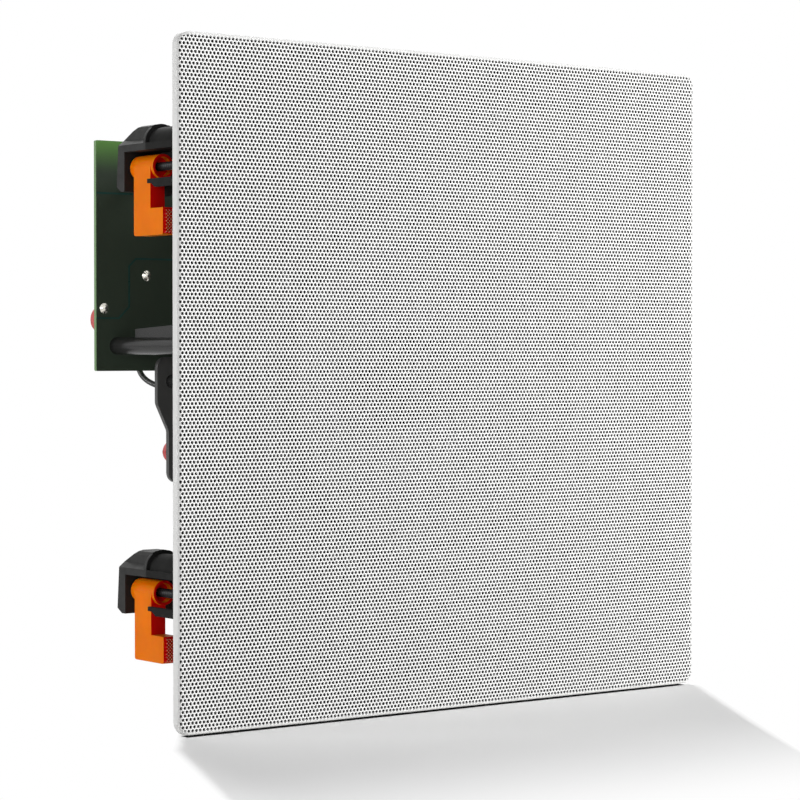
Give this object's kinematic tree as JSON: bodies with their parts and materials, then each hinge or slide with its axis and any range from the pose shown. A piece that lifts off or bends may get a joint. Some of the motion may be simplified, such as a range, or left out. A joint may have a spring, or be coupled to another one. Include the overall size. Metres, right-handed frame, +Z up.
{
  "type": "ceiling speaker",
  "caption": "Square flush-mount ceiling loudspeaker: white pan grille on a black chassis with swing-out clamp dogs, a coaxial driver and a crossover board with push terminals behind.",
  "frame": {"origin": "centre of the flange's back face, in the plane of the ceiling", "axes": "+Y into the ceiling, away from the grille; +Z up in the picture; +X to the right seen from the front"},
  "size_m": [0.25, 0.1076, 0.25],
  "materials": {
    "white_coat": "satin powder coat",
    "black_moulding": "fine moulded grain",
    "clamp_orange": "satin moulding",
    "black_screw": "black oxide",
    "bright_magnet": "nickel plated",
    "black_basket": "black paint",
    "gasket": "felted",
    "zinc_screw": "zinc plated",
    "rubber": "matt",
    "cone": "woven grain",
    "copper": "enamelled copper",
    "spider_cloth": "resin-treated cloth",
    "steel": "zinc plated",
    "ferrite": "matt sintered",
    "tweeter_black": "satin",
    "dome": "coated silk",
    "board_green": "solder mask",
    "solder": "bright solder",
    "film_red": "dipped",
    "sleeve_black": "shrunk sleeve",
    "bobbin": "natural moulding",
    "cement": "cast cement",
    "header": "natural moulding",
    "button_red": "gloss",
    "button_black": "gloss",
    "wire_black": "satin sheath",
    "wire_red": "satin sheath",
    "tag_strip": "pressed board"
  },
  "bodies": {
    "frame": {"grille_magnets": "bright_magnet", "chassis": "black_moulding", "woofer_basket": "black_basket", "driver_gasket": "gasket", "driver_screws": "black_screw", "surround": "rubber", "spider": "spider_cloth", "top_plate": "steel", "ring_magnet": "ferrite", "back_plate": "steel", "tweeter_housing": "tweeter_black", "tweeter_dome": "dome", "tweeter_stem": "zinc_screw", "crossover_board": "board_green", "board_screws": "zinc_screw", "solder_joints": "solder", "film_capacitor_1": "film_red", "film_capacitor_2": "film_red", "electrolytic_capacitor": "sleeve_black", "woofer_inductor_bobbin": "bobbin", "woofer_inductor_winding": "copper", "tweeter_inductor_bobbin": "bobbin", "tweeter_inductor_winding": "copper", "power_resistor": "cement", "lead_header": "header", "terminal_plate": "black_moulding", "terminal_screw": "zinc_screw", "terminal_block": "black_moulding", "terminal_lead_black": "wire_black", "terminal_lead_red": "wire_red", "woofer_tag_strip": "tag_strip", "woofer_lead_left": "wire_black", "woofer_lead_right": "wire_red", "clamp_cap_1": "black_moulding", "clamp_cap_2": "black_moulding", "clamp_cap_3": "black_moulding", "clamp_cap_4": "black_moulding"},
    "grille_pan": {"grille": "white_coat"},
    "moving_cone": {"cone": "cone", "voice_coil": "copper"},
    "red_push": {"terminal_button_red": "button_red"},
    "black_push": {"terminal_button_black": "button_black"},
    "clamp_turn_1": {"clamp_screw_1": "black_screw"},
    "clamp_grip_1": {"dog_1": "clamp_orange"},
    "clamp_turn_2": {"clamp_screw_2": "black_screw"},
    "clamp_grip_2": {"dog_2": "clamp_orange"},
    "clamp_turn_3": {"clamp_screw_3": "black_screw"},
    "clamp_grip_3": {"dog_3": "clamp_orange"},
    "clamp_turn_4": {"clamp_screw_4": "black_screw"},
    "clamp_grip_4": {"dog_4": "clamp_orange"}
  },
  "joints": [
    {"name": "grille_pull", "type": "slide", "parent": "frame", "child": "grille_pan", "axis": [0, -1, 0], "range_m": [0, 0.03]},
    {"name": "cone_stroke", "type": "slide", "parent": "frame", "child": "moving_cone", "axis": [0, -1, 0], "range_m": [-0.004, 0.004], "stiffness_N_per_m": 2000, "deforming": ["surround", "spider"]},
    {"name": "red_press", "type": "slide", "parent": "frame", "child": "red_push", "axis": [0, -1, 0], "range_m": [0, 0.003], "stiffness_N_per_m": 900},
    {"name": "black_press", "type": "slide", "parent": "frame", "child": "black_push", "axis": [0, -1, 0], "range_m": [0, 0.003], "stiffness_N_per_m": 900},
    {"name": "clamp_swing_1", "type": "hinge", "parent": "frame", "child": "clamp_turn_1", "pos_m": [-0.1053, 0.02, 0.08], "axis": [0, 1, 0], "range_deg": [0, 90]},
    {"name": "clamp_draw_1", "type": "slide", "parent": "clamp_turn_1", "child": "clamp_grip_1", "axis": [0, -1, 0], "range_m": [0, 0.02]},
    {"name": "clamp_swing_2", "type": "hinge", "parent": "frame", "child": "clamp_turn_2", "pos_m": [-0.1053, 0.02, -0.078], "axis": [0, 1, 0], "range_deg": [0, 90]},
    {"name": "clamp_draw_2", "type": "slide", "parent": "clamp_turn_2", "child": "clamp_grip_2", "axis": [0, -1, 0], "range_m": [0, 0.02]},
    {"name": "clamp_swing_3", "type": "hinge", "parent": "frame", "child": "clamp_turn_3", "pos_m": [0.1053, 0.02, -0.08], "axis": [0, 1, 0], "range_deg": [0, 90]},
    {"name": "clamp_draw_3", "type": "slide", "parent": "clamp_turn_3", "child": "clamp_grip_3", "axis": [0, -1, 0], "range_m": [0, 0.02]},
    {"name": "clamp_swing_4", "type": "hinge", "parent": "frame", "child": "clamp_turn_4", "pos_m": [0.1053, 0.02, 0.078], "axis": [0, 1, 0], "range_deg": [0, 90]},
    {"name": "clamp_draw_4", "type": "slide", "parent": "clamp_turn_4", "child": "clamp_grip_4", "axis": [0, -1, 0], "range_m": [0, 0.02]}
  ]
}
